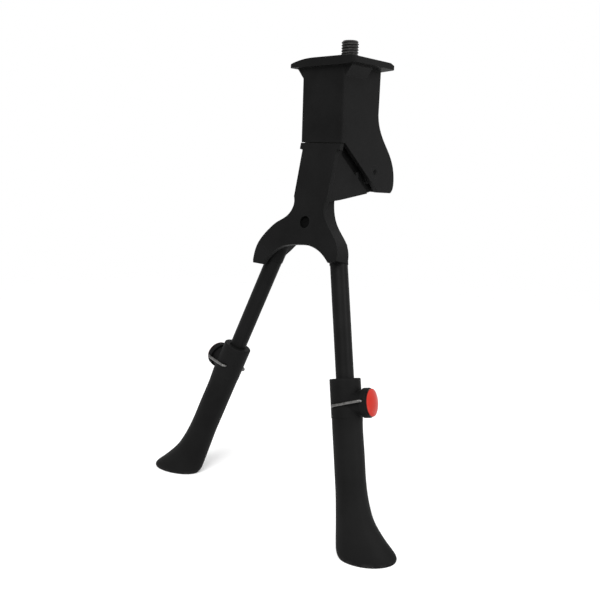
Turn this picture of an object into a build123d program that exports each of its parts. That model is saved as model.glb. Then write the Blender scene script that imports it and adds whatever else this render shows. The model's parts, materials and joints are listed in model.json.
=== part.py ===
from build123d import *
from math import acos, asin, atan2, cos, degrees, radians, sin, sqrt
import os

# Angles of the legs when the stand is down
lean = 13.7
splay = 16.7

# Clearances between pieces
press = 0.0
running = 0.05
side_gap = 0.25
stop_gap = 0.3
groove_gap = 0.1
window_gap = 0.1

# Cutting shapes: past the part, and past the face they open
far_out = 45.0
overcut = 1.0

# Mount: the seat is at height zero and the bolt stands on the origin
mount_half = 14.65
mount_wall = 2.65
mount_front = -24.0
mount_front_wall = 3.0
mount_rear = 11.0
mount_edge_r = 1.2
roof_z = -14.0
stop_z = -45.3
cheek_rise_y = -20.5
cheek_tip = (10.4, -69.4)
cheek_toe = (14.5, -73.4)
lobe_bottom = (28.6, -74.2)
lobe_curve = [(31.0, -72.0), (31.8, -66.1), (30.1, -58.8), (25.8, -51.6)]
lobe_curve = lobe_curve + [(19.6, -44.7), (14.3, -37.9), (11.0, -28.0)]
lobe_shift = 0.5
flange_half = 23.0
flange_front = -26.5
flange_rear = 13.5
flange_corner_r = 2.5
flange_left_land = 5.0
flange_left_drop = 3.0
flange_left_tip = 1.5
flange_right_land = 17.0
flange_right_drop = 0.7
flange_right_tip = 3.2
flange_fall = 0.35
flange_under = 13.0
flange_t = 4.6
flange_bevel_y = 6.0
flange_bevel = 2.4
gusset_reach = 4.3
gusset_depth = 10.2
gusset_inset = 0.6
gusset_end_y = -4.0
gusset_lip = 0.2

# Mounting bolt
bolt_r = 5.0
bolt_neck_r = 4.5
bolt_hole_r = 5.2
bolt_tip_z = 11.7
bolt_chamfer = 0.9
head_flats = 16.0
head_t = 6.4
head_seat_z = -6.8

# Main pivot
pivot_y = 10.6
pivot_z = -61.2
pivot_r = 4.0
pivot_tail = 2.6
clip_t = 1.0
clip_gap = 0.2
clip_band = 2.6
clip_depth = 0.8
clip_mouth = 1.8
clip_play = 0.05
dimple_r = 1.8

# Toggle spring and its two pins
spring_wire_r = 0.9
spring_coil_r = 5.0
spring_turns = 2
spring_hook = 270.0
spring_knuckle = 0.03
spring_side = 3.4
spring_eye_gap = 0.15
mount_pin_y = 3.0
mount_pin_z = -27.0
mount_pin_r = 2.0
mount_pin_half = 14.0
carrier_pin_reach = 8.3
carrier_pin_angle = 45.0
carrier_pin_r = 1.7
spring_coil_y = -1.5
spring_coil_z = -46.5

# Leg plane: hinge of the folding leg, legs at hinge height
hinge_x = -1.0
hinge_y = -25.4
hinge_z = -91.8
fixed_x = 15.1
hinged_x = -19.8
plate_front = -9.7
plate_t = 3.0
hinge_r = 3.5
hinge_sink = 1.6
hinge_tail = 1.0
eye_r = 7.5
eye_gap = 0.6
head_gap = 0.2
head_rear = 6.0

# Carrier
ear_out = 11.7
ear_in = 7.0
ear_recess = 9.2
ear_r = 12.5
ear_top_y = -4.0
ear_bottom = [(-19.5, -76.9), (-31.9, -77.6)]
floor_t = 4.0
floor_rise = 1.2
floor_end_y = -8.0
thrust_r = 7.0
recess_band = 4.5
tooth_y = (-4.8, -2.2)
tooth_z = (-65.5, -61.5)
lip_half = 14.4
lip_t = 2.7
lip_h = 3.8
arm_rear = 1.2
neck_half = 8.0
neck_rear = 4.5
neck_edge_r = 3.0
neck_h = 14.0
socket_r = 5.3
socket_floor = 2.0
socket_round = 2.5
arm_end_s = 21.5
head_end_s = 25.0
yoke_top = 50.0
yoke_left = [(-12.3, 14), (-11.7, 7.5), (-15.2, 2.3), (-21.9, -1.9), (-26.6, -6.0), (-30.2, -10.0)]
yoke_left = yoke_left + [(-32.9, -13.9), (-34.6, -17.8), (-35.3, -22.0), (-35.4, -26.0)]
yoke_corner = (-34.9, -27.8)
yoke_arch = [(-27.0, -27.8), (-22.5, -21.0), (-14.0, -15.2), (-4.2, -13.2), (1.7, -12.7), (7.7, -13.3)]
yoke_arch = yoke_arch + [(13.9, -15.6), (17.2, -17.8), (20.4, -20.6)]
yoke_right = [(26.0, -18.9), (25.2, -12.7), (23.0, -8.4), (18.4, -3.3), (13.1, 3.1)]
plate_right = [(11.0, 8.0), (11.8, 14)]
arm_right = [(10.4, 9.0), (9.0, 15.0)]
arm_inner = [(4.0, 15.0), (4.0, -11.0), (9.0, -12.5), (15.5, -15.5), (20.8, -18.9)]
head_outline = [(-3.0, 6.9), (-11.0, 3.4), (-18.0, -1.0), (-23.0, -5.5), (-26.6, -10.0), (-28.8, -15.0)]
head_outline = head_outline + [(-30.4, -20.5), (-24.0, -20.0), (-20.4, -16.6), (-16.6, -12.4)]
head_outline = head_outline + [(-10.0, -8.6), (-3.0, -7.0)]

# Legs
rod_r = 5.0
rod_end_s = 156.0
fixed_top_s = 10.5
hinged_top_s = 9.0
notch_pitch = 8.0
notch_count = 7
notch_floor = 3.8
notch_h = 4.4
rod_chamfer = 0.8
spigot_r = 3.4
leg_pin_r = 1.5
leg_pin_in = 4.4
leg_pin_proud = 0.2
fixed_pin_s = 16.5
hinged_pin_s = 17.0

# Feet: the toe's level sections, as height over the ground and growth at the toe, the heel and the sides
ground_z = -257.3
foot_top_s = 84.4
foot_r = 8.35
collar_r = 8.55
collar_h = 21.0
bore_end_s = 160.0
toe_sections = [
    (76.0, 0.0, 0.0, 0.0),
    (65.0, 0.0, 0.0, 0.0),
    (54.0, 0.0, 0.0, 0.0),
    (45.0, 0.0, 0.0, 0.0),
    (38.0, 0.0, 0.0, 0.0),
    (32.0, 0.3, 0.0, 0.0),
    (25.0, 1.2, 0.2, 0.0),
    (19.0, 2.6, 0.5, 0.1),
    (14.0, 4.9, 0.8, 0.2),
    (9.0, 8.2, 1.1, 0.3),
    (5.0, 11.4, 1.3, 0.3),
    (2.0, 13.5, 1.1, 0.1),
    (0.0, 12.9, 0.2, -0.7),
]
toe_points = 16
toe_turn = 27.0
right_foot_turn = 8.0
left_foot_turn = -8.0
foot_edge_r = 0.7

# Knobs, their caps and their wire springs
knob_s = 97.9
boss_r = 6.8
boss_face = 10.8
knob_gap = 0.3
knob_r = 8.0
knob_rim_t = 3.4
knob_chamfer = 0.5
cap_r = 7.4
cap_sink = 1.0
cap_wall = 1.0
dome_h = 1.5
stem_half_v = 2.5
stem_half_w = 2.0
stem_tip = 4.0
wire_r = 0.8
wire_half = 9.0
wire_bend_r = 1.6
wire_back = 5.2
wire_hook = (-4.2, 5.2)
wire_seat = 1.3
wire_rise = 1.0
wire_dip = 1.5

os.makedirs("parts", exist_ok=True)

TILT = radians(lean)
LEG_PLANE = Plane(origin=(0, hinge_y, hinge_z), x_dir=(1, 0, 0), z_dir=(0, sin(TILT), cos(TILT)))
TURN = radians(splay)
FIXED = Plane(origin=(fixed_x, 0, 0), x_dir=(cos(TURN), 0, sin(TURN)), z_dir=(-sin(TURN), 0, cos(TURN)))
HINGED = Plane(origin=(hinged_x, 0, 0), x_dir=(-cos(TURN), 0, sin(TURN)), z_dir=(sin(TURN), 0, cos(TURN)))
UP = (Align.CENTER, Align.CENTER, Align.MIN)


def save(node, shape):
    solids = shape.solids()
    if len(solids) != 1:
        raise ValueError(f"{node} has {len(solids)} solids")
    export_step(solids[0], f"parts/{node}.step")


def rod(start, direction, length, radius):
    return Plane(origin=start, z_dir=direction) * Cylinder(radius, length, align=UP)


def cross_pin(y, z, radius, half):
    return rod((-half, y, z), (1, 0, 0), 2 * half, radius)


def outline(*curves):
    return make_face(list(curves))


def side_slab(face, x_from, x_to):
    return extrude(Plane.YZ.offset(x_from) * face, x_to - x_from)


def leg_slab(face, y_from, y_to):
    return extrude(Plane.XZ.offset(-y_to) * face, y_to - y_from)


def block(x, y, z):
    size = (x[1] - x[0], y[1] - y[0], z[1] - z[0])
    return Pos((x[0] + x[1]) / 2, (y[0] + y[1]) / 2, (z[0] + z[1]) / 2) * Box(*size)


def ring(inner, outer, thickness):
    return Cylinder(outer, thickness, align=UP) - Cylinder(inner, thickness, align=UP)


def clip(pin_r):
    inner = pin_r - clip_depth
    half = inner * clip_mouth / 2
    return ring(inner, inner + clip_band, clip_t) - block((0, far_out), (-half, half), (0, clip_t))


def clip_groove(pin_r):
    return Pos(0, 0, -clip_play) * ring(pin_r - clip_depth, pin_r + overcut, clip_t + 2 * clip_play)


def in_leg_plane(shape):
    return LEG_PLANE.location * shape


# Mount body
def mount_profile():
    under = -flange_t / 2
    top = [(lobe_curve[-1][0], under), (mount_front, under), (mount_front, stop_z), (cheek_rise_y, stop_z)]
    low = [cheek_tip, cheek_toe, lobe_bottom]
    return outline(Polyline(top + low), Spline([lobe_bottom] + lobe_curve), Line(lobe_curve[-1], top[0]))


def mount_cavity():
    inner = [(y - mount_wall, z - lobe_shift) for y, z in lobe_curve]
    front = mount_front + mount_front_wall
    below = lobe_bottom[1] - far_out
    edge = [(inner[-1][0], roof_z), (front, roof_z), (front, below), (inner[0][0], below), inner[0]]
    return outline(Polyline([inner[-1]] + edge), Spline(inner))


def flange():
    out = flange_half
    left = [(-flange_left_land, 0), (-out, -flange_left_drop)]
    right = [(flange_right_land, 0), (out, -flange_right_drop)]
    wing = Spline(left, tangents=[(-1, 0), (-1, -flange_fall)])
    other_wing = Spline(right, tangents=[(1, 0), (1, -flange_fall)])
    left_low = (-out, -flange_left_drop - flange_left_tip)
    right_low = (out, -flange_right_drop - flange_right_tip)
    under = [left[1], left_low, (-flange_under, -flange_t), (flange_under, -flange_t), right_low, right[1]]
    face = outline(wing, Polyline(under), other_wing, Line(right[0], left[0]))
    plate = leg_slab(face, flange_front, flange_rear)
    plan = RectangleRounded(2 * out, flange_rear - flange_front, flange_corner_r)
    mid = (flange_front + flange_rear) / 2
    plate = plate & Pos(0, mid, -far_out) * extrude(plan, 2 * far_out)
    bevel = [(flange_bevel_y, 0), (flange_rear, -flange_bevel), (flange_rear, far_out)]
    return plate - side_slab(outline(Polyline(bevel, close=True)), -out, out)


def gussets():
    reach = mount_half + gusset_reach
    low = mount_half - overcut
    points = [(-low, -overcut), (-low, -gusset_depth - overcut), (-mount_half, -gusset_depth)]
    points = points + [(-reach, -flange_t - gusset_lip), (-reach, -flange_t + overcut)]
    face = outline(Polyline(points, close=True))
    web = leg_slab(face, mount_front + gusset_inset, gusset_end_y)
    return web + mirror(web, about=Plane.YZ)


def hexagon(flats, z_from, z_to):
    face = RegularPolygon(flats / sqrt(3), 6)
    return Pos(0, 0, z_from) * extrude(face, z_to - z_from)


def mount_body():
    column = side_slab(mount_profile(), -mount_half, mount_half)
    front_edges = column.edges().filter_by(Axis.Z).group_by(Axis.Y)[0]
    column = fillet(front_edges, mount_edge_r)
    body = column + gussets() + flange()
    body = body - side_slab(mount_cavity(), mount_wall - mount_half, mount_half - mount_wall)
    body = body - hexagon(head_flats, roof_z - overcut, head_seat_z)
    body = body - Pos(0, 0, roof_z) * Cylinder(bolt_hole_r, far_out, align=UP)
    body = body - cross_pin(pivot_y, pivot_z, pivot_r + press, mount_half + overcut)
    return body - cross_pin(mount_pin_y, mount_pin_z, mount_pin_r + press, mount_pin_half)


def mounting_bolt():
    shank = Cylinder(bolt_r, bolt_tip_z, align=UP)
    shank = chamfer(shank.edges().group_by(Axis.Z)[-1], bolt_chamfer)
    neck = Pos(0, 0, head_seat_z) * Cylinder(bolt_neck_r, -head_seat_z, align=UP)
    return shank + neck + hexagon(head_flats, head_seat_z - head_t, head_seat_z)


def pivot_clip_plane():
    return Plane(origin=(-mount_half - clip_gap - clip_t, pivot_y, pivot_z), z_dir=(1, 0, 0))


def pivot_pin():
    start = -mount_half - pivot_tail
    pin = rod((start, pivot_y, pivot_z), (1, 0, 0), mount_half - start, pivot_r)
    pin = pin - pivot_clip_plane() * clip_groove(pivot_r)
    cone = Plane(origin=(mount_half - dimple_r, pivot_y, pivot_z), z_dir=(1, 0, 0))
    return pin - cone * Cone(0, dimple_r, dimple_r, align=UP)


# Toggle spring
def carrier_pin_place():
    angle = radians(carrier_pin_angle)
    return pivot_y + carrier_pin_reach * cos(angle), pivot_z + carrier_pin_reach * sin(angle)


def spring_normal(start, finish, shift, side):
    """Direction from a circle's centre to where a line to the next circle leaves it, in degrees."""
    run = (finish[0] - start[0], finish[1] - start[1])
    length = sqrt(run[0] * run[0] + run[1] * run[1])
    return degrees(atan2(run[1], run[0])) + side * degrees(acos(shift / length))


def on_circle(x, centre, radius, angle):
    return Vector(x, centre[0] + radius * cos(radians(angle)), centre[1] + radius * sin(radians(angle)))


def tube(path):
    return sweep(Plane(origin=path @ 0, z_dir=path % 0) * Circle(spring_wire_r), path)


def hook(x, centre, radius, start, finish):
    ends = [on_circle(x, centre, radius, start + (finish - start) * part) for part in (0, 0.5, 1)]
    return tube(ThreePointArc(*ends))


def toggle_spring():
    top, coil, low = (mount_pin_y, mount_pin_z), (spring_coil_y, spring_coil_z), carrier_pin_place()
    top_r = mount_pin_r + spring_eye_gap + spring_wire_r
    low_r = carrier_pin_r + spring_eye_gap + spring_wire_r
    enter = spring_normal(top, coil, top_r - spring_coil_r, -1)
    leave = spring_normal(coil, low, spring_coil_r + low_r, -1)
    start = on_circle(-spring_side, coil, spring_coil_r, enter)
    finish = on_circle(spring_side, coil, spring_coil_r, leave)
    turns = spring_turns + ((leave - enter) % 360) / 360
    helix = Helix(2 * spring_side / turns, 2 * spring_side, spring_coil_r)
    wound = sweep(Plane(origin=helix @ 0, z_dir=helix % 0) * Circle(spring_wire_r), helix, is_frenet=True)
    outward = (0, cos(radians(enter)), sin(radians(enter)))
    axis = Plane(origin=(-spring_side, *coil), x_dir=outward, z_dir=(1, 0, 0))
    body = axis.location * wound
    body = body + tube(Line(on_circle(-spring_side, top, top_r, enter), start))
    body = body + tube(Line(finish, on_circle(spring_side, low, low_r, leave - 180)))
    for joint in (start, finish):
        body = body + Pos(joint) * Sphere(spring_wire_r + spring_knuckle)
    body = body + hook(-spring_side, top, top_r, enter - spring_hook, enter)
    return body + hook(spring_side, low, low_r, leave - 180, leave - 180 - spring_hook)


# Leg carrier
def plate_face():
    right = yoke_right + plate_right
    rise = Polyline([right[-1], (-yoke_left[0][0], yoke_top), (yoke_left[0][0], yoke_top), yoke_left[0]])
    foot = Polyline([yoke_left[-1], yoke_corner, yoke_arch[0]])
    arch_end = Line(yoke_arch[-1], right[0])
    return outline(rise, Spline(yoke_left), foot, Spline(yoke_arch), arch_end, Spline(right))


def arm_body():
    outer = yoke_right + arm_right
    face = outline(Spline(outer), Polyline([outer[-1]] + arm_inner + [outer[0]]))
    body = leg_slab(face, plate_front + plate_t, arm_rear)
    boss = rod((0, 0, -arm_end_s), (0, 0, 1), arm_end_s - fixed_top_s + socket_floor, socket_r)
    boss = fillet(boss.edges().group_by(Axis.Z)[-1], socket_round)
    body = body + FIXED.location * boss
    clear = rod((hinge_x, plate_front + plate_t, 0), (0, 1, 0), far_out, eye_r + eye_gap)
    return body - clear


def neck_body():
    face = Pos(0, (plate_front + neck_rear) / 2) * Rectangle(2 * neck_half, neck_rear - plate_front)
    body = Pos(0, 0, eye_r + eye_gap) * extrude(face, neck_h)
    rear_edges = body.edges().filter_by(Axis.Z).group_by(Axis.Y)[-1]
    return fillet(rear_edges, neck_edge_r)


def lip_body():
    span = (hinge_lip_height() - lip_h, hinge_lip_height() + far_out)
    return block((-lip_half, lip_half), (plate_front, plate_front + lip_t), span)


def hinge_lip_height():
    drop = stop_z - hinge_z
    return (drop + plate_front * sin(radians(lean))) / cos(radians(lean))


def ear_profile():
    top = [(mount_front - overcut, stop_z), (ear_top_y, stop_z)]
    round_end = [(pivot_y, pivot_z + ear_r), (pivot_y, pivot_z - ear_r)]
    return outline(Polyline(top + round_end + ear_bottom, close=True))


def recess_profile():
    run = cheek_tip[0] - cheek_rise_y
    fall = cheek_tip[1] - stop_z
    length = sqrt(run * run + fall * fall)
    shift = recess_band / length
    start = (cheek_rise_y + fall * shift, stop_z - run * shift)
    end = (cheek_tip[0] + fall * shift, cheek_tip[1] - run * shift)
    begin_y = cheek_rise_y + overcut
    begin_z = start[1] + (begin_y - start[0]) * fall / run
    beyond = cheek_tip[0] + far_out
    deep = stop_z - far_out
    top = stop_z + overcut
    points = [(begin_y, top), (begin_y, begin_z), end, (end[0], deep), (beyond, deep), (beyond, top)]
    return outline(Polyline(points, close=True))


def ear():
    body = side_slab(ear_profile(), ear_in, ear_out)
    body = body + rod((ear_in, pivot_y, pivot_z), (1, 0, 0), ear_out - ear_in, ear_r)
    body = body - side_slab(recess_profile(), ear_recess, ear_out + overcut)
    thrust = mount_half - mount_wall - side_gap
    body = body + rod((ear_in, pivot_y, pivot_z), (1, 0, 0), thrust - ear_in, thrust_r)
    return body + block((ear_in, ear_out), tooth_y, tooth_z)


def floor_body():
    low = ear_bottom[0][1]
    end = low + floor_rise
    points = [ear_bottom[1], ear_bottom[0], (floor_end_y, end), (floor_end_y, end + floor_t)]
    points = points + [(ear_bottom[1][0] + overcut, low + floor_t)]
    return side_slab(outline(Polyline(points, close=True)), -ear_out, ear_out)


def leg_carrier():
    plate = leg_slab(plate_face(), plate_front, plate_front + plate_t)
    yoke = in_leg_plane(plate + arm_body() + neck_body() + lip_body())
    ears = ear() + mirror(ear(), about=Plane.YZ)
    body = yoke + ears + floor_body()
    wide = (-far_out, far_out)
    front = in_leg_plane(block(wide, (plate_front - far_out, plate_front), (0, 2 * far_out)))
    body = body - front - block(wide, (-2 * far_out, 2 * far_out), (stop_z - stop_gap, 0))
    body = body - cross_pin(pivot_y, pivot_z, pivot_r + running, mount_half)
    carrier_y, carrier_z = carrier_pin_place()
    body = body - cross_pin(carrier_y, carrier_z, carrier_pin_r + press, mount_half)
    hinge_hole = rod((hinge_x, plate_front - overcut, 0), (0, 1, 0), plate_t + 2 * overcut, hinge_r + press)
    socket = rod((0, 0, -arm_end_s), (0, 0, 1), arm_end_s - fixed_top_s, spigot_r + press)
    return body - in_leg_plane(hinge_hole) - in_leg_plane(FIXED.location * (socket + leg_pin(fixed_pin_s)))


def leg_pin(s):
    return rod((0, -leg_pin_in, -s), (0, 1, 0), leg_pin_in + socket_r + leg_pin_proud, leg_pin_r)


def far_leg_pin(s):
    return rod((0, leg_pin_in, -s), (0, -1, 0), leg_pin_in + socket_r + leg_pin_proud, leg_pin_r)


# Legs with their notches
def leg_rod(top_s, shoulder_s, turn, pin):
    body = Pos(0, 0, -rod_end_s) * Cylinder(rod_r, rod_end_s - shoulder_s, align=UP)
    body = chamfer(body.edges().group_by(Axis.Z)[0], rod_chamfer)
    body = body + Pos(0, 0, -shoulder_s) * Cylinder(spigot_r, shoulder_s - top_s, align=UP)
    for index in range(notch_count):
        middle = -knob_s - index * notch_pitch
        span = (middle - notch_h / 2, middle + notch_h / 2)
        body = body - Rot(0, 0, turn) * block((notch_floor, rod_r + overcut), (-rod_r, rod_r), span)
    return body - pin


# Hinged leg head
def hinged_leg_head():
    front = plate_front + plate_t + head_gap
    body = leg_slab(outline(Polyline(head_outline, close=True)), front, head_rear)
    body = body + rod((hinge_x, front, 0), (0, 1, 0), head_rear - front, eye_r)
    depth = head_end_s - hinged_top_s
    body = body + HINGED.location * rod((0, 0, -head_end_s), (0, 0, 1), depth + socket_floor, socket_r)
    body = body - rod((hinge_x, front - overcut, 0), (0, 1, 0), far_out, hinge_r + running)
    socket = rod((0, 0, -head_end_s), (0, 0, 1), depth, spigot_r + press)
    return in_leg_plane(body - HINGED.location * (socket + far_leg_pin(hinged_pin_s)))


def hinge_clip_plane():
    return Plane(origin=(hinge_x, head_rear + clip_gap, 0), z_dir=(0, 1, 0))


def hinge_pin():
    start = plate_front + hinge_sink
    end = head_rear + clip_gap + clip_t + hinge_tail
    body = rod((hinge_x, start, 0), (0, 1, 0), end - start, hinge_r)
    return in_leg_plane(body - hinge_clip_plane() * clip_groove(hinge_r))


# Feet
def leg_point(place, s):
    return in_leg_plane(place.location * Pos(0, 0, -s)).position


def toe_section(place, ahead, height, toe, heel, sides):
    """A level face: the sleeve's own outline at that height, drawn out at the toe and the heel."""
    s = (hinge_z - ground_z - height) / (cos(TURN) * cos(radians(lean)))
    middle = leg_point(place, s)
    axis = (leg_point(place, 0) - middle).normalized()
    across = Vector(-ahead.Y, ahead.X, 0)
    points = []
    for step in range(toe_points):
        angle = radians(180 + 360 * step / toe_points)
        ray = ahead * cos(angle) + across * sin(angle)
        reach = foot_r / sqrt(1 - ray.dot(axis) ** 2)
        along = (toe - heel) / 2 + (reach + (toe + heel) / 2) * cos(angle)
        points.append(middle + ahead * along + across * ((reach + sides) * sin(angle)))
    return make_face(Spline(points, periodic=True))


def toe_body(place, turn, side):
    angle = radians(turn + toe_turn)
    ahead = Vector(side * cos(angle), side * sin(angle), 0)
    return loft([toe_section(place, ahead, *row) for row in toe_sections])


def wire_bow(radius):
    reach = boss_face + knob_gap + wire_seat
    side = [(*wire_hook, wire_rise), (-wire_back, wire_half, wire_rise), (reach, wire_half, -wire_dip)]
    points = side + [(u, -v, -w) for u, v, w in reversed(side)]
    path = FilletPolyline(points, radius=wire_bend_r)
    section = Plane(origin=path @ 0, z_dir=path % 0) * Circle(radius)
    return Pos(0, 0, -knob_s) * sweep(section, path)


def foot(place, turn, side):
    collar = Pos(0, 0, -foot_top_s - collar_h) * Cylinder(collar_r, collar_h, align=UP)
    collar = fillet(collar.edges().group_by(Axis.Z)[-1], foot_edge_r)
    body = collar + rod((0, 0, -knob_s), (1, 0, 0), boss_face, boss_r)
    half_v = stem_half_v + window_gap
    half_w = stem_half_w + window_gap
    window = block((0, boss_face + overcut), (-half_v, half_v), (-knob_s - half_w, -knob_s + half_w))
    body = in_leg_plane(turned(place, turn) * body) + toe_body(place, turn, side)
    bore = rod((0, 0, -bore_end_s), (0, 0, 1), bore_end_s, rod_r + running)
    return body - in_leg_plane(turned(place, turn) * (bore + window + wire_bow(wire_r + groove_gap)))


def turned(place, turn):
    return place.location * Rot(0, 0, turn)


def knob():
    back = boss_face + knob_gap
    face = back + knob_rim_t
    rim = [(face - cap_sink, 0), (back, 0), (back, knob_r), (face - knob_chamfer, knob_r)]
    rim = rim + [(face, knob_r - knob_chamfer), (face, cap_r), (face - cap_sink, cap_r)]
    head = Pos(0, 0, -knob_s) * revolve(outline(Polyline(rim, close=True)), axis=Axis.X)
    span = (-knob_s - stem_half_w, -knob_s + stem_half_w)
    body = head + block((stem_tip, back + overcut), (-stem_half_v, stem_half_v), span)
    return body - wire_bow(wire_r + running)


def knob_cap():
    floor = boss_face + knob_gap + knob_rim_t - cap_sink
    edge = floor + cap_sink + cap_wall
    ball = (cap_r * cap_r + dome_h * dome_h) / (2 * dome_h)
    half = asin(cap_r / ball) / 2
    shoulder = (edge + dome_h - ball + ball * cos(half), ball * sin(half))
    sides = Polyline([(edge + dome_h, 0), (floor, 0), (floor, cap_r), (edge, cap_r)])
    dome = ThreePointArc((edge, cap_r), shoulder, (edge + dome_h, 0))
    return Pos(0, 0, -knob_s) * revolve(outline(sides, dome), axis=Axis.X)


save("mount_body", mount_body())
save("mounting_bolt", mounting_bolt())
save("pivot_pin", pivot_pin())
save("pivot_clip", pivot_clip_plane() * clip(pivot_r))
save("toggle_spring", toggle_spring())
save("mount_spring_pin", cross_pin(mount_pin_y, mount_pin_z, mount_pin_r, mount_pin_half))
save("carrier_spring_pin", cross_pin(*carrier_pin_place(), carrier_pin_r, ear_recess))
save("leg_carrier", leg_carrier())
save("fixed_leg_pin", in_leg_plane(FIXED.location * leg_pin(fixed_pin_s)))
save("hinged_leg_head", hinged_leg_head())
save("hinged_leg_pin", in_leg_plane(HINGED.location * far_leg_pin(hinged_pin_s)))
save("hinge_pin", hinge_pin())
save("hinge_clip", in_leg_plane(hinge_clip_plane() * clip(hinge_r)))
fixed_rod = leg_rod(fixed_top_s, arm_end_s, right_foot_turn, leg_pin(fixed_pin_s))
save("fixed_leg", in_leg_plane(FIXED.location * fixed_rod))
hinged_rod = leg_rod(hinged_top_s, head_end_s, left_foot_turn, far_leg_pin(hinged_pin_s))
save("hinged_leg", in_leg_plane(HINGED.location * hinged_rod))
for name, place, turn, side in (("right", FIXED, right_foot_turn, 1), ("left", HINGED, left_foot_turn, -1)):
    save(f"{name}_foot", foot(place, turn, side))
    save(f"{name}_knob", in_leg_plane(turned(place, turn) * knob()))
    save(f"{name}_knob_cap", in_leg_plane(turned(place, turn) * knob_cap()))
    save(f"{name}_wire", in_leg_plane(turned(place, turn) * wire_bow(wire_r)))
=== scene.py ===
import json
import math

import bmesh
import bpy
from mathutils import Matrix, Vector


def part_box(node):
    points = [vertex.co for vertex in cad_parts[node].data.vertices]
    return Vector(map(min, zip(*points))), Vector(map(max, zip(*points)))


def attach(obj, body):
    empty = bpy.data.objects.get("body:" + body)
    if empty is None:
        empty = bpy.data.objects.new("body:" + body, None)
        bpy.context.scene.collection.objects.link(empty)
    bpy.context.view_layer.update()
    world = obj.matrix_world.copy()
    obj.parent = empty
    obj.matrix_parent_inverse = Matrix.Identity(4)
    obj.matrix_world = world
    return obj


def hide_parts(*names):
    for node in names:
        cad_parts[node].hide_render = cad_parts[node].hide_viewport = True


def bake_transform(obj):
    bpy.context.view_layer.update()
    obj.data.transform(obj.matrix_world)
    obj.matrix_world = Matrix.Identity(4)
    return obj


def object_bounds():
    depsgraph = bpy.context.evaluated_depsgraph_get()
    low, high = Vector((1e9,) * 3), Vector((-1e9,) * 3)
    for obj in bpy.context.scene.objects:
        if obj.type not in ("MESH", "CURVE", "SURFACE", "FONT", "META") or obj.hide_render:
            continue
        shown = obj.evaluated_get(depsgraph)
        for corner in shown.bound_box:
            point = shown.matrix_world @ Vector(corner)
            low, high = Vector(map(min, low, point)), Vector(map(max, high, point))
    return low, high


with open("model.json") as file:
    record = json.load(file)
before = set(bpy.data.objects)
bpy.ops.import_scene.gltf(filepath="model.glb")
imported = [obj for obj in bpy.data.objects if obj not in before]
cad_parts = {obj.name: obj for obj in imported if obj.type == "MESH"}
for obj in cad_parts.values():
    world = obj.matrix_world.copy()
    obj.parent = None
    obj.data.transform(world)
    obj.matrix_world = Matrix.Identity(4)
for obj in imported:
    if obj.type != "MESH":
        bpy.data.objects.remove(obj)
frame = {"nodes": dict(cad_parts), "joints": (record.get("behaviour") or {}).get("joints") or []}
cad_lo, cad_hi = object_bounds()
nodes = frame["nodes"]
scene = bpy.context.scene
middle = (cad_lo + cad_hi) / 2
MM = 0.001
UP = Vector((0, 0, 1))
SIDES = ("right", "left")

# Directions of the moving parts: rods lie along the feet's slides, caps face along the knobs' pulls
axes = {joint["name"]: Vector(joint["axis"]) for joint in frame["joints"]}

# Knob caps
CAP_DOME = 1.5 * MM
DOME_EDGE = 0.2 * MM

# Mounting bolt: a thread above the flange and a plain neck through it
THREAD_CREST = 5.0 * MM
THREAD_ROOT = 4.4 * MM
THREAD_PITCH = 1.5 * MM
THREAD_FLAT = 0.12
BOLT_CHAMFER = 0.9 * MM
NECK_R = 4.5 * MM
NECK_TOP = 0.0
HEAD_SEAT = -6.8 * MM
HEAD_CORNERS = 6
ROUND_STEPS = 48
LEVELS_PER_PITCH = 8

# Floor, in metres, and white surroundings
FLOOR_RADIUS = 0.8
FLOOR_SIDES = 64
FLOOR_DROP = 0.2 * MM
FLOOR_GLOW = 0.2
FADE_FROM = 0.25
FADE_TO = 0.75
WORLD_LIGHT = 0.6
WORLD_SEEN = 1.0

# Camera, fitted to the photograph's frame in pixels
PHOTO_WIDTH = 600
FOCAL_LENGTH = 630.5
SENSOR_WIDTH = 36
NEAR_CLIP = 0.01
CAMERA_PLACE = Vector((228.7, -310.4, -50.9)) * MM
CAMERA_TURN = math.radians(40)
CAMERA_PITCH = math.radians(13.198)
CAMERA_ROLL = math.radians(1.740)

# Shared by the materials
NOISE_LOW = 0.3
NOISE_HIGH = 0.7
FLAT_DOT = 0.985
EDGE_DOT = 0.8
BEVEL_SAMPLES = 4

# Places of the colour sockets on a mix node, whose names repeat
MIX_A = 6
MIX_B = 7
MIX_RESULT = 2


class Graph:
    """A node tree with short calls for the nodes used here."""

    def __init__(self, owner):
        owner.use_nodes = True
        self.owner = owner
        self.tree = owner.node_tree

    def node(self, kind, **values):
        made = self.tree.nodes.new(kind)
        for name, value in values.items():
            setattr(made, name, value)
        return made

    def link(self, source, target):
        self.tree.links.new(source, target)

    def feed(self, target, value):
        """Links a socket, or sets a plain value."""
        if isinstance(value, bpy.types.NodeSocket):
            self.link(value, target)
        else:
            target.default_value = value

    def ramp(self, value, low, high, start=0.0, end=1.0):
        """A value from low to high, mapped from start to end and clamped."""
        made = self.node("ShaderNodeMapRange", clamp=True)
        self.link(value, made.inputs["Value"])
        made.inputs["From Min"].default_value = low
        made.inputs["From Max"].default_value = high
        made.inputs["To Min"].default_value = start
        made.inputs["To Max"].default_value = end
        return made.outputs["Result"]

    def math(self, operation, a, b):
        made = self.node("ShaderNodeMath", operation=operation)
        self.feed(made.inputs[0], a)
        self.feed(made.inputs[1], b)
        return made.outputs["Value"]

    def seen(self):
        """One for the rays that show the background: camera, glossy and transmission rays."""
        path = self.node("ShaderNodeLightPath").outputs
        glossy = self.math("MAXIMUM", path["Is Glossy Ray"], path["Is Transmission Ray"])
        return self.math("MAXIMUM", path["Is Camera Ray"], glossy)


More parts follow.
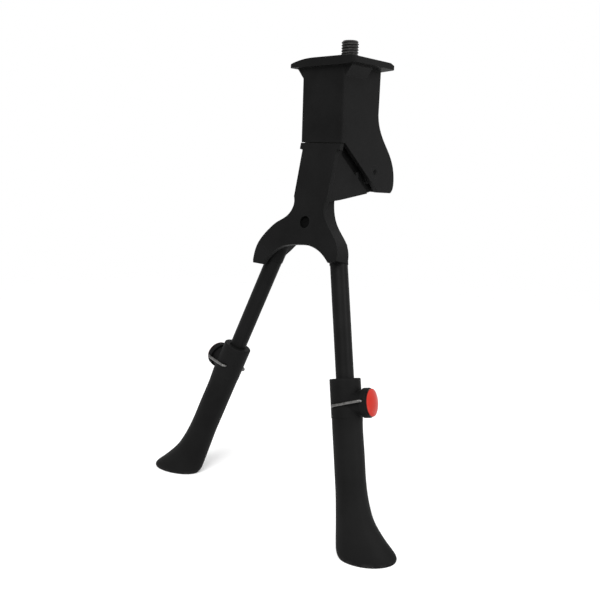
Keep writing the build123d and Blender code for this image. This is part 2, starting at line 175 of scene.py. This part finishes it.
class Finish(Graph):
    """A material's tree, around its shader and the object's own coordinates."""

    def __init__(self, name):
        super().__init__(bpy.data.materials.new(name))
        self.shader = self.tree.nodes["Principled BSDF"]
        self.coords = self.node("ShaderNodeTexCoord").outputs["Object"]

    def vector_math(self, operation, a, b):
        made = self.node("ShaderNodeVectorMath", operation=operation)
        self.feed(made.inputs[0], a)
        self.feed(made.inputs[1], b)
        return made

    def noise(self, scale, detail, rough=0.55, vector=None):
        made = self.node("ShaderNodeTexNoise")
        made.inputs["Scale"].default_value = scale
        made.inputs["Detail"].default_value = detail
        made.inputs["Roughness"].default_value = rough
        self.link(vector or self.coords, made.inputs["Vector"])
        return made.outputs["Fac"]

    def spread(self, noise, start=0.0, end=1.0):
        """A noise's usual range, drawn out from start to end."""
        return self.ramp(noise, NOISE_LOW, NOISE_HIGH, start, end)

    def mix(self, factor, a, b):
        made = self.node("ShaderNodeMix", data_type="RGBA")
        self.feed(made.inputs["Factor"], factor)
        self.feed(made.inputs[MIX_A], a)
        self.feed(made.inputs[MIX_B], b)
        return made.outputs[MIX_RESULT]

    def cloudy(self, noise, a, b):
        """Two colours in soft patches."""
        return self.mix(self.spread(noise), a, b)

    def tint(self, base, mask, amount, colour):
        """A base colour, moved by up to amount towards another where the mask is one."""
        return self.mix(self.math("MULTIPLY", mask, amount), base, colour)

    def along(self, axis, origin=(0, 0, 0)):
        """How far a point lies along an axis from the origin, in metres."""
        shifted = self.vector_math("SUBTRACT", self.coords, origin)
        return self.vector_math("DOT_PRODUCT", shifted.outputs["Vector"], axis).outputs["Value"]

    def stretched(self, axis, keep):
        """Coordinates drawn out along an axis, for marks that run along it."""
        scale = self.node("ShaderNodeVectorMath", operation="SCALE")
        scale.inputs[0].default_value = axis
        self.link(self.math("MULTIPLY", self.along(axis), 1 - keep), scale.inputs["Scale"])
        return self.vector_math("SUBTRACT", self.coords, scale.outputs["Vector"]).outputs["Vector"]

    def bump(self, height, distance, strength, normal=None):
        made = self.node("ShaderNodeBump")
        made.inputs["Strength"].default_value = strength
        made.inputs["Distance"].default_value = distance
        self.link(height, made.inputs["Height"])
        if normal:
            self.link(normal, made.inputs["Normal"])
        return made.outputs["Normal"]

    def rounded(self, radius):
        """A normal that rolls over the edges, as a coat does."""
        made = self.node("ShaderNodeBevel", samples=BEVEL_SAMPLES)
        made.inputs["Radius"].default_value = radius
        return made.outputs["Normal"]

    def edges(self, rounded):
        """One near an edge, zero on a flat."""
        plain = self.node("ShaderNodeNewGeometry").outputs["Normal"]
        dot = self.vector_math("DOT_PRODUCT", rounded, plain).outputs["Value"]
        return self.ramp(dot, FLAT_DOT, EDGE_DOT)

    def finish(self, **values):
        """Sets the shader's inputs by name and gives the material."""
        for name, value in values.items():
            self.feed(self.shader.inputs[name.replace("_", " ")], value)
        return self.owner


def grey(value, warm=0.0):
    """A grey, with a little more red and less blue where it is warm."""
    return (value * (1 + warm), value, value * (1 - warm), 1)


DEEP_BLACK = grey(0.0035)
COAT_BLACK = grey(0.006)
NYLON_BLACK = grey(0.0065)


def black_casting():
    """Black powder coat over cast alloy: orange peel, flecks, and lighter edges, partly where the
    coat is thin and partly a painted highlight.
    """
    g = Finish("black_casting")
    round_edge = g.rounded(0.5 * MM)
    cloud = g.noise(scale=60, detail=3)
    peel = g.noise(scale=1400, detail=2)
    fleck = g.ramp(g.noise(scale=2600, detail=1), low=0.66, high=0.76)
    patches = g.ramp(g.noise(scale=420, detail=4), low=0.42, high=0.62)
    edge_wear_and_highlight = g.math("MULTIPLY", g.edges(round_edge), patches)
    base = g.cloudy(cloud, DEEP_BLACK, COAT_BLACK)
    base = g.tint(base, fleck, amount=0.35, colour=grey(0.016))
    # lighter edges: partly thin coat, partly a painted highlight where the edges catch light
    base = g.tint(base, edge_wear_and_highlight, amount=0.4, colour=grey(0.035, warm=0.02))
    mottle = g.math("ADD", g.math("MULTIPLY", peel, 0.6), g.math("MULTIPLY", cloud, 0.4))
    return g.finish(
        Base_Color=base,
        Roughness=g.spread(mottle, start=0.44, end=0.6),
        Specular_IOR_Level=0.055,
        Normal=g.bump(peel, distance=0.03 * MM, strength=0.5, normal=round_edge),
    )


def black_rod(name, axis):
    """Black coated drawn rod: faint runs along its length, rubbed edges at the notches."""
    g = Finish(name)
    round_edge = g.rounded(0.3 * MM)
    runs = g.noise(scale=900, detail=4, rough=0.6, vector=g.stretched(axis, keep=0.03))
    patches = g.ramp(g.noise(scale=700, detail=3), low=0.4, high=0.6)
    rubbed = g.math("MULTIPLY", g.edges(round_edge), patches)
    base = g.cloudy(g.noise(scale=45, detail=3), DEEP_BLACK, COAT_BLACK)
    return g.finish(
        Base_Color=g.tint(base, rubbed, amount=0.5, colour=grey(0.05)),
        Roughness=g.spread(runs, start=0.36, end=0.52),
        Specular_IOR_Level=0.06,
        Normal=g.bump(runs, distance=0.02 * MM, strength=0.35, normal=round_edge),
    )


def black_moulding():
    """Matt black nylon of the feet and knobs: spark-eroded grain, scuffed soles."""
    g = Finish("black_moulding")
    round_edge = g.rounded(0.6 * MM)
    grain = g.noise(scale=1800, detail=3, rough=0.6)
    base = g.cloudy(g.noise(scale=38, detail=3), DEEP_BLACK, NYLON_BLACK)
    over_ground = g.along(UP, origin=(0, 0, cad_lo.z))
    sole = g.ramp(over_ground, low=2.5 * MM, high=0.2 * MM)
    scratches = g.ramp(g.noise(scale=300, detail=5, rough=0.7), low=0.45, high=0.65)
    scuff = g.math("MULTIPLY", sole, scratches)
    return g.finish(
        Base_Color=g.tint(base, scuff, amount=0.5, colour=grey(0.04, warm=0.03)),
        Roughness=g.spread(grain, start=0.5, end=0.68),
        Specular_IOR_Level=0.055,
        Normal=g.bump(grain, distance=0.04 * MM, strength=0.5, normal=round_edge),
    )


def red_moulding(name, axis, apex):
    """Black cap with a red dome: a faint flow swirl, a soft sheen, paler red patches that are a
    painted highlight, and a black side wall that also paints in the shade of the rim.
    """
    g = Finish(name)
    deep = (0.38, 0.022, 0.014, 1)
    full = (0.44, 0.03, 0.019, 1)
    # painted highlight: a paler red, mixed into the dome's red in soft patches
    painted_highlight_red = (0.47, 0.045, 0.032, 1)
    cloud = g.noise(scale=220, detail=3)
    red = g.cloudy(g.noise(scale=90, detail=4, rough=0.6), deep, full)
    # painted highlight: paler red patches stand for the gloss highlight on the dome
    red = g.mix(g.ramp(cloud, low=0.55, high=0.75), red, painted_highlight_red)
    # black side wall: the cap's own black, and also painted shade standing for the shaded rim of
    # the knob
    black_wall_and_rim_shade = g.cloudy(cloud, DEEP_BLACK, NYLON_BLACK)
    dome = g.ramp(g.along(axis, apex), low=-CAP_DOME - DOME_EDGE, high=-CAP_DOME)
    fine = g.noise(scale=1500, detail=2)
    return g.finish(
        Base_Color=g.mix(dome, black_wall_and_rim_shade, red),
        Roughness=g.spread(cloud, start=0.3, end=0.42),
        Specular_IOR_Level=0.08,
        Normal=g.bump(fine, distance=0.02 * MM, strength=0.3, normal=g.rounded(0.5 * MM)),
    )


def bright_steel():
    """Drawn spring wire and clips under a dull oil film."""
    g = Finish("bright_steel")
    film = g.noise(scale=500, detail=4, rough=0.6)
    fine = g.noise(scale=3000, detail=2)
    return g.finish(
        Base_Color=g.cloudy(film, grey(0.07, warm=0.02), grey(0.16, warm=0.02)),
        Metallic=1.0,
        Roughness=g.spread(film, start=0.28, end=0.46),
        Normal=g.bump(fine, distance=0.01 * MM, strength=0.4),
    )


def dark_steel():
    """Black-oxide steel: brownish grey, brighter where it is handled."""
    g = Finish("dark_steel")
    round_edge = g.rounded(0.2 * MM)
    film = g.noise(scale=350, detail=4, rough=0.6)
    fine = g.noise(scale=2600, detail=2)
    base = g.cloudy(film, grey(0.022, warm=0.03), grey(0.042, warm=0.02))
    return g.finish(
        Base_Color=g.tint(base, g.edges(round_edge), amount=0.3, colour=grey(0.1)),
        Metallic=0.75,
        Roughness=g.spread(film, start=0.4, end=0.6),
        Normal=g.bump(fine, distance=0.015 * MM, strength=0.4, normal=round_edge),
    )


def oiled_steel():
    """A pin end sunk in its hole, painted near black as the shade of its recess."""
    g = Finish("oiled_steel")
    film = g.noise(scale=400, detail=4, rough=0.6)
    return g.finish(
        # painted shade: the near-black base stands for the shade inside the pin's recess
        Base_Color=g.cloudy(film, grey(0.0012), grey(0.003)),
        Roughness=g.spread(film, start=0.5, end=0.7),
        Specular_IOR_Level=0.02,
    )


def pale_floor():
    """White and matt, fading into the white surroundings."""
    g = Finish("pale_floor")
    g.finish(
        Base_Color=g.cloudy(g.noise(scale=6, detail=2), grey(0.9), grey(0.92)),
        Roughness=0.9,
        Specular_IOR_Level=0.1,
        Emission_Color=grey(1.0),
        Emission_Strength=g.math("MULTIPLY", g.seen(), FLOOR_GLOW),
    )
    far = g.node("ShaderNodeVectorMath", operation="LENGTH")
    g.link(g.coords, far.inputs[0])
    fade = g.node("ShaderNodeMixShader")
    g.link(g.ramp(far.outputs["Value"], FADE_FROM, FADE_TO), fade.inputs["Fac"])
    g.link(g.shader.outputs["BSDF"], fade.inputs[1])
    g.link(g.node("ShaderNodeBsdfTransparent").outputs["BSDF"], fade.inputs[2])
    g.link(fade.outputs["Shader"], g.tree.nodes["Material Output"].inputs["Surface"])
    return g.owner


def new_object(name, data):
    made = bpy.data.objects.new(name, data)
    scene.collection.objects.link(made)
    return made


def mesh_object(name, bm):
    """An object from a finished bmesh, which is freed."""
    mesh = bpy.data.meshes.new(name)
    bm.to_mesh(mesh)
    bm.free()
    return new_object(name, mesh)


def farthest(node, axis):
    """The outermost point of a node along an axis."""
    return max(nodes[node].data.vertices, key=lambda vertex: vertex.co.dot(axis)).co.copy()


def clamped(value):
    return min(max(value, 0.0), 1.0)


def thread_radius(turn, z, tip):
    """The thread at a share of a turn: it fades in over one pitch and ends in the tip's chamfer."""
    phase = (z / THREAD_PITCH - turn) % 1.0
    depth = clamped((abs(2 * phase - 1) - THREAD_FLAT) / (1 - 2 * THREAD_FLAT))
    fade_in = clamped((z - NECK_TOP) / THREAD_PITCH)
    radius = THREAD_CREST - (THREAD_CREST - THREAD_ROOT) * depth * fade_in
    return min(radius, THREAD_CREST - BOLT_CHAMFER + (tip - z))


def ring(bm, radii, z):
    """Points round the bolt's axis at one height, one for each radius."""
    points = []
    for k, radius in enumerate(radii):
        angle = 2 * math.pi * k / len(radii)
        points.append(bm.verts.new((radius * math.cos(angle), radius * math.sin(angle), z)))
    return points


def skin(bm, rings):
    """Walls between rings, lowest first, and a face at each end."""
    for low, high in zip(rings, rings[1:]):
        for k in range(len(low)):
            n = (k + 1) % len(low)
            bm.faces.new((low[k], low[n], high[n], high[k]))
    bm.faces.new(rings[-1])
    bm.faces.new(reversed(rings[0]))


def threaded_bolt():
    """The mounting bolt in its solid's place, with its thread, plain neck and hexagon head."""
    bolt_lo, bolt_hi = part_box("mounting_bolt")
    tip = bolt_hi.z
    step = THREAD_PITCH / LEVELS_PER_PITCH
    levels = [NECK_TOP + i * step for i in range(int(tip / step) + 1)] + [tip]
    turns = [k / ROUND_STEPS for k in range(ROUND_STEPS)]
    bm = bmesh.new()
    neck = [ring(bm, [NECK_R] * ROUND_STEPS, z) for z in (HEAD_SEAT, NECK_TOP)]
    thread = [ring(bm, [thread_radius(turn, z, tip) for turn in turns], z) for z in levels]
    head = [ring(bm, [bolt_hi.x] * HEAD_CORNERS, z) for z in (bolt_lo.z, HEAD_SEAT)]
    skin(bm, neck + thread)
    skin(bm, head)
    return mesh_object("threaded_bolt", bm)


def sprung_wire(side):
    """A copy of a wire bow in its solid's place, shown instead of the hidden solid. On the stand,
    the bow draws out with its knob while its hooks stay in the foot.
    """
    node = side + "_wire"
    piece = new_object(node + "_bow", nodes[node].data.copy())
    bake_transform(piece)
    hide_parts(node)


def white_world():
    """White for the camera and for reflections, gentler as a light."""
    g = Graph(bpy.data.worlds.new("studio"))
    background = g.tree.nodes["Background"]
    background.inputs["Color"].default_value = grey(1.0)
    strength = g.ramp(g.seen(), low=0.0, high=1.0, start=WORLD_LIGHT, end=WORLD_SEEN)
    g.link(strength, background.inputs["Strength"])
    return g.owner


def soft_box(name, offset, size, watts):
    """A rectangular lamp at an offset from the object's middle, facing it."""
    lamp = bpy.data.lights.new(name, "AREA")
    lamp.shape = "RECTANGLE"
    lamp.size, lamp.size_y = size
    lamp.energy = watts
    box = new_object(name, lamp)
    box.location = middle + Vector(offset)
    box.rotation_mode = "QUATERNION"
    box.rotation_quaternion = (-Vector(offset)).to_track_quat("-Z", "Y")


def fitted_camera():
    """A camera turned round the object, pitched down and rolled as in the photograph."""
    right = Vector((math.cos(CAMERA_TURN), math.sin(CAMERA_TURN), 0))
    near = Vector((math.sin(CAMERA_TURN), -math.cos(CAMERA_TURN), 0))
    back = near * math.cos(CAMERA_PITCH) + UP * math.sin(CAMERA_PITCH)
    over = UP * math.cos(CAMERA_PITCH) - near * math.sin(CAMERA_PITCH)
    cam_x = right * math.cos(CAMERA_ROLL) + over * math.sin(CAMERA_ROLL)
    cam_y = over * math.cos(CAMERA_ROLL) - right * math.sin(CAMERA_ROLL)
    lens = bpy.data.cameras.new("camera")
    lens.sensor_width = SENSOR_WIDTH
    lens.lens = SENSOR_WIDTH * FOCAL_LENGTH / PHOTO_WIDTH
    lens.clip_start = NEAR_CLIP
    camera = new_object("camera", lens)
    turned = Matrix((cam_x, cam_y, back)).transposed().to_4x4()
    camera.matrix_world = Matrix.Translation(CAMERA_PLACE) @ turned
    return camera


# Looks of the nodes; the hidden pins that aren't named here are dark steel
casting = black_casting()
moulding = black_moulding()
bright = bright_steel()
dark = dark_steel()
looks = {
    "mount_body": casting,
    "leg_carrier": casting,
    "hinged_leg_head": casting,
    "pivot_pin": casting,
    # the hinge pin's end is painted near black, a painted shade of its recess
    "hinge_pin": oiled_steel(),
    "fixed_leg": black_rod("black_rod_fixed", axes["right_foot_slide"]),
    "hinged_leg": black_rod("black_rod_hinged", axes["left_foot_slide"]),
    "pivot_clip": bright,
    "hinge_clip": bright,
    "toggle_spring": bright,
}
for side in SIDES:
    cap = side + "_knob_cap"
    outward = axes[side + "_knob_pull"]
    looks[side + "_foot"] = moulding
    looks[side + "_knob"] = moulding
    looks[cap] = red_moulding("red_" + cap, outward, farthest(cap, outward))
    looks[side + "_wire"] = bright
for name, node in nodes.items():
    node.data.materials.clear()
    node.data.materials.append(looks.get(name, dark))

# Pieces that stand for their solids
bolt = threaded_bolt()
bolt.data.materials.append(dark)
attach(bolt, "mount")
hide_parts("mounting_bolt")
for side in SIDES:
    sprung_wire(side)

# Floor, surroundings, lamps and camera
disc = bmesh.new()
bmesh.ops.create_circle(disc, cap_ends=True, segments=FLOOR_SIDES, radius=FLOOR_RADIUS)
floor = mesh_object("floor", disc)
floor.location = (0, middle.y, cad_lo.z - FLOOR_DROP)
floor.data.materials.append(pale_floor())

scene.world = white_world()
soft_box("key", offset=(0.25, -0.75, 0.85), size=(0.7, 0.7), watts=12)
soft_box("side", offset=(0.95, 0.1, 0.35), size=(0.5, 0.9), watts=6)
scene.camera = fitted_camera()
scene.view_settings.view_transform = "Standard"
